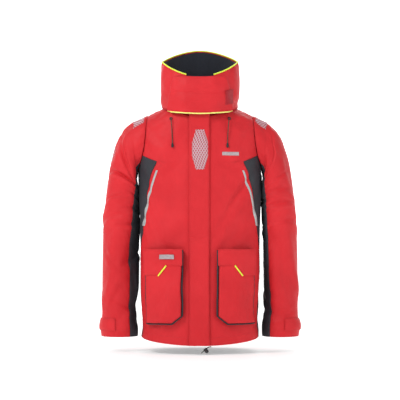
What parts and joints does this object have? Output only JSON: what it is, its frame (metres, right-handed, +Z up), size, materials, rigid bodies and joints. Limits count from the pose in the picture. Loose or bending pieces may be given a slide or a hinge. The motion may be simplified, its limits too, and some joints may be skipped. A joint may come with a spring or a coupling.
{
  "type": "foul weather jacket",
  "caption": "Offshore sailing jacket with a high hood collar, face guard, storm flap over a full zip, cargo pockets and tabbed cuffs.",
  "frame": {"origin": "on the shoulder line at the centre of the neck, where the wearer's shoulders carry the jacket", "axes": "+X to the wearer's left, +Y to the wearer's back, +Z up"},
  "size_m": [0.6854, 0.2992, 1.0325],
  "materials": {
    "shell_red": "matt coated woven nylon, red",
    "shell_charcoal": "matt coated woven nylon, charcoal",
    "lining": "brushed dark navy lining",
    "neon_trim": "neon yellow binding",
    "reflective": "silver reflective film, satin",
    "label": "woven grey label",
    "hook_and_loop": "dark red loop pile",
    "zip": "black moulded plastic and tape",
    "cord": "braided olive grey cord",
    "cord_fitting": "satin black moulded plastic"
  },
  "bodies": {
    "torso": {"back_panel": "shell_red", "front_panel_left": "shell_red", "front_panel_right": "shell_red", "side_panel_left": "shell_charcoal", "side_panel_right": "shell_charcoal", "back_lining": "lining", "front_lining_left": "lining", "front_lining_right": "lining", "collar": "shell_red", "collar_lining": "lining", "hanger_loop": "cord", "zip_tape_left": "zip", "zip_tape_right": "zip", "zip_coil_left": "zip", "zip_coil_right": "zip", "inner_storm_flap": "shell_charcoal", "cargo_pocket_left": "shell_red", "cargo_pocket_right": "shell_red", "pocket_gusset_left": "shell_charcoal", "pocket_gusset_right": "shell_charcoal", "pocket_piping_left": "reflective", "pocket_piping_right": "reflective", "chest_mark": "reflective", "hood_cord_left": "cord", "hood_cord_right": "cord", "hood_cord_end_left": "cord_fitting", "hood_cord_end_right": "cord_fitting", "cord_eyelet_left": "cord_fitting", "cord_eyelet_right": "cord_fitting", "hem_cord": "cord", "hem_cord_lock": "cord_fitting"},
    "sleeve_left": {"sleeve_left": "shell_red", "sleeve_strip_left": "shell_charcoal", "inner_cuff_left": "shell_charcoal", "shoulder_reflector_left": "reflective"},
    "sleeve_right": {"sleeve_right": "shell_red", "sleeve_strip_right": "shell_charcoal", "inner_cuff_right": "shell_charcoal", "shoulder_reflector_right": "reflective", "sleeve_reflector_right": "reflective"},
    "hood": {"hood": "shell_red", "hood_lining": "lining", "hood_binding": "neon_trim"},
    "face_guard": {"face_guard": "shell_red", "guard_piping": "neon_trim", "hook_and_loop_patch": "hook_and_loop"},
    "storm_flap": {"storm_flap": "shell_red", "chest_reflector": "reflective"},
    "zip_slider": {"zip_slider": "zip"},
    "zip_pull": {"zip_pull": "zip"},
    "pocket_flap_left": {"pocket_flap_left": "shell_red", "flap_binding_left": "neon_trim"},
    "pocket_flap_right": {"pocket_flap_right": "shell_red", "flap_binding_right": "neon_trim", "pocket_label_right": "label"},
    "cuff_tab_left": {"cuff_tab_left": "shell_red"},
    "cuff_tab_right": {"cuff_tab_right": "shell_red"},
    "cord_lock_plunger": {"hem_cord_lock_plunger": "cord_fitting"}
  },
  "joints": [
    {"name": "sleeve_swing_left", "type": "hinge", "parent": "torso", "child": "sleeve_left", "pos_m": [0.172, 0, -0.022], "axis": [0, -1, 0], "range_deg": [0, 45]},
    {"name": "sleeve_swing_right", "type": "hinge", "parent": "torso", "child": "sleeve_right", "pos_m": [-0.172, 0, -0.022], "axis": [0, 1, 0], "range_deg": [0, 45]},
    {"name": "hood_fold", "type": "hinge", "parent": "torso", "child": "hood", "pos_m": [0, 0.092, 0.006], "axis": [-1, 0, 0], "range_deg": [0, 60]},
    {"name": "face_guard_open", "type": "hinge", "parent": "hood", "child": "face_guard", "pos_m": [-0.1175, -0.0905, 0.04], "axis": [0, 0, -1], "range_deg": [0, 120]},
    {"name": "storm_flap_open", "type": "hinge", "parent": "torso", "child": "storm_flap", "pos_m": [0.0325, -0.1262, -0.41699], "axis": [0, 0.0384, 0.9993], "range_deg": [0, 105]},
    {"name": "zip_slide", "type": "slide", "parent": "torso", "child": "zip_slider", "axis": [0, -0.0384, -0.9993], "range_m": [0, 0.7]},
    {"name": "zip_pull_swing", "type": "hinge", "parent": "zip_slider", "child": "zip_pull", "pos_m": [0, -0.1162, -0.05381], "axis": [0, -0.9993, 0.0384], "range_deg": [-30, 30]},
    {"name": "pocket_flap_lift_left", "type": "hinge", "parent": "torso", "child": "pocket_flap_left", "pos_m": [0.12894, -0.1448, -0.47491], "axis": [-0.9509, -0.3096, 0], "range_deg": [0, 150]},
    {"name": "pocket_flap_lift_right", "type": "hinge", "parent": "torso", "child": "pocket_flap_right", "pos_m": [-0.12894, -0.1448, -0.47491], "axis": [-0.9509, 0.3096, 0], "range_deg": [0, 150]},
    {"name": "cuff_tab_open_left", "type": "hinge", "parent": "sleeve_left", "child": "cuff_tab_left", "pos_m": [0.3283, 0.0412, -0.736], "axis": [0, 0, 1], "range_deg": [0, 120]},
    {"name": "cuff_tab_open_right", "type": "hinge", "parent": "sleeve_right", "child": "cuff_tab_right", "pos_m": [-0.3283, 0.0412, -0.736], "axis": [0, 0, -1], "range_deg": [0, 120]},
    {"name": "cord_lock_press", "type": "slide", "parent": "torso", "child": "cord_lock_plunger", "axis": [-0.6428, 0, 0.766], "range_m": [0, 0.002], "stiffness_N_per_m": 300}
  ]
}
